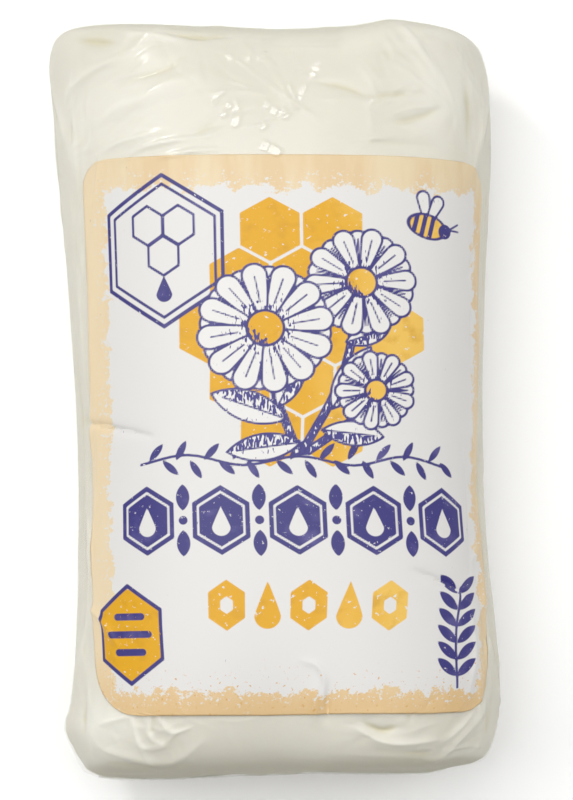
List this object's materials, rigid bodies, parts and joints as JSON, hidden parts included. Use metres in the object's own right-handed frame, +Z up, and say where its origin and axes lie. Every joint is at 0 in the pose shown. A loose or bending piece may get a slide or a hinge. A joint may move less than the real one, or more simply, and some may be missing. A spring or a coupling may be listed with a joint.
{
  "type": "honey goat cheese log",
  "caption": "Soft goat cheese log vacuum packed in clear wrinkled film, lying flat, with a rounded printed label draped over its top.",
  "frame": {"origin": "under the middle of the pack, on the surface that it lies on", "axes": "+Y along the pack towards its head end, +Z up through the label, +X to the right when the label is read"},
  "size_m": [0.0528, 0.089, 0.0312],
  "materials": {
    "wrapped_cheese": "ivory soft cheese under clear, glossy, wrinkled shrink film",
    "label_paper": "white satin label with a peach border and gold and indigo print"
  },
  "bodies": {
    "root": {"wrapped_log": "wrapped_cheese", "label": "label_paper"}
  },
  "joints": []
}
